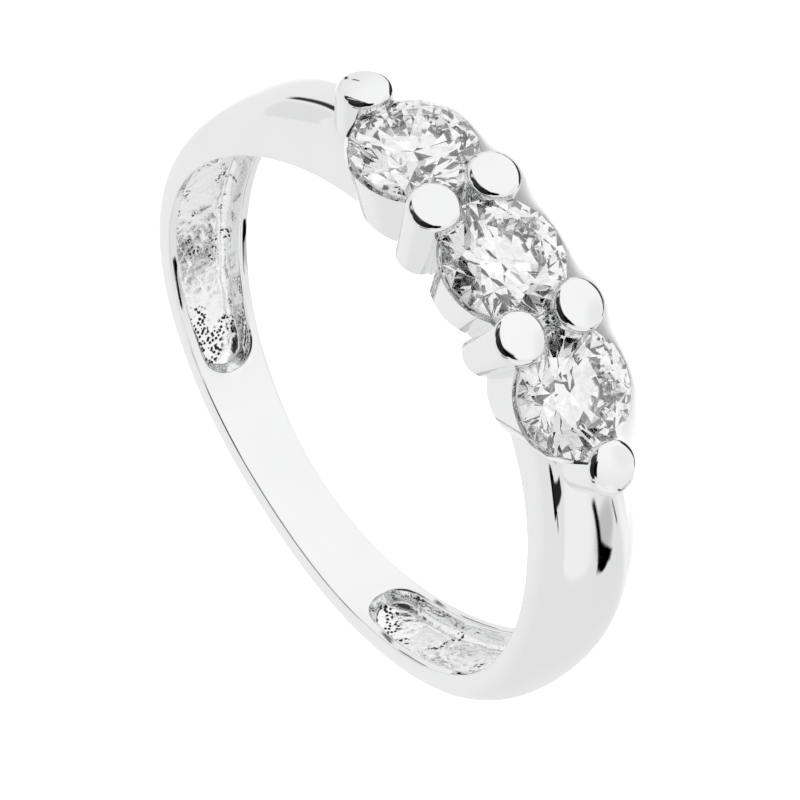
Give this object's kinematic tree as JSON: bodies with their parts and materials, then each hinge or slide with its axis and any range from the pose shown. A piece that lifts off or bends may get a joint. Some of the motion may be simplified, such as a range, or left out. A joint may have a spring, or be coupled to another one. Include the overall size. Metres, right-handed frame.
{
  "type": "three stone ring",
  "caption": "Finger ring of cast white metal lying on its side: tapered domed band with hollowed inside, and a row of round brilliants held by round prongs.",
  "frame": {"origin": "centre of the footprint on the surface that the ring lies on, 0.62 mm from the finger axis towards the head", "axes": "+Z along the finger axis and away from the surface, -Y from the finger axis towards the middle stone, +X along the row of stones"},
  "size_m": [0.02, 0.0216, 0.0039],
  "materials": {
    "white_gold": "mirror polished and plated bright white, as cast on the floor of the two hollows",
    "brilliant": "polished facets, colourless"
  },
  "bodies": {
    "root": {"ring_body": "white_gold", "stone_left": "brilliant", "stone_centre": "brilliant", "stone_right": "brilliant"}
  },
  "joints": []
}
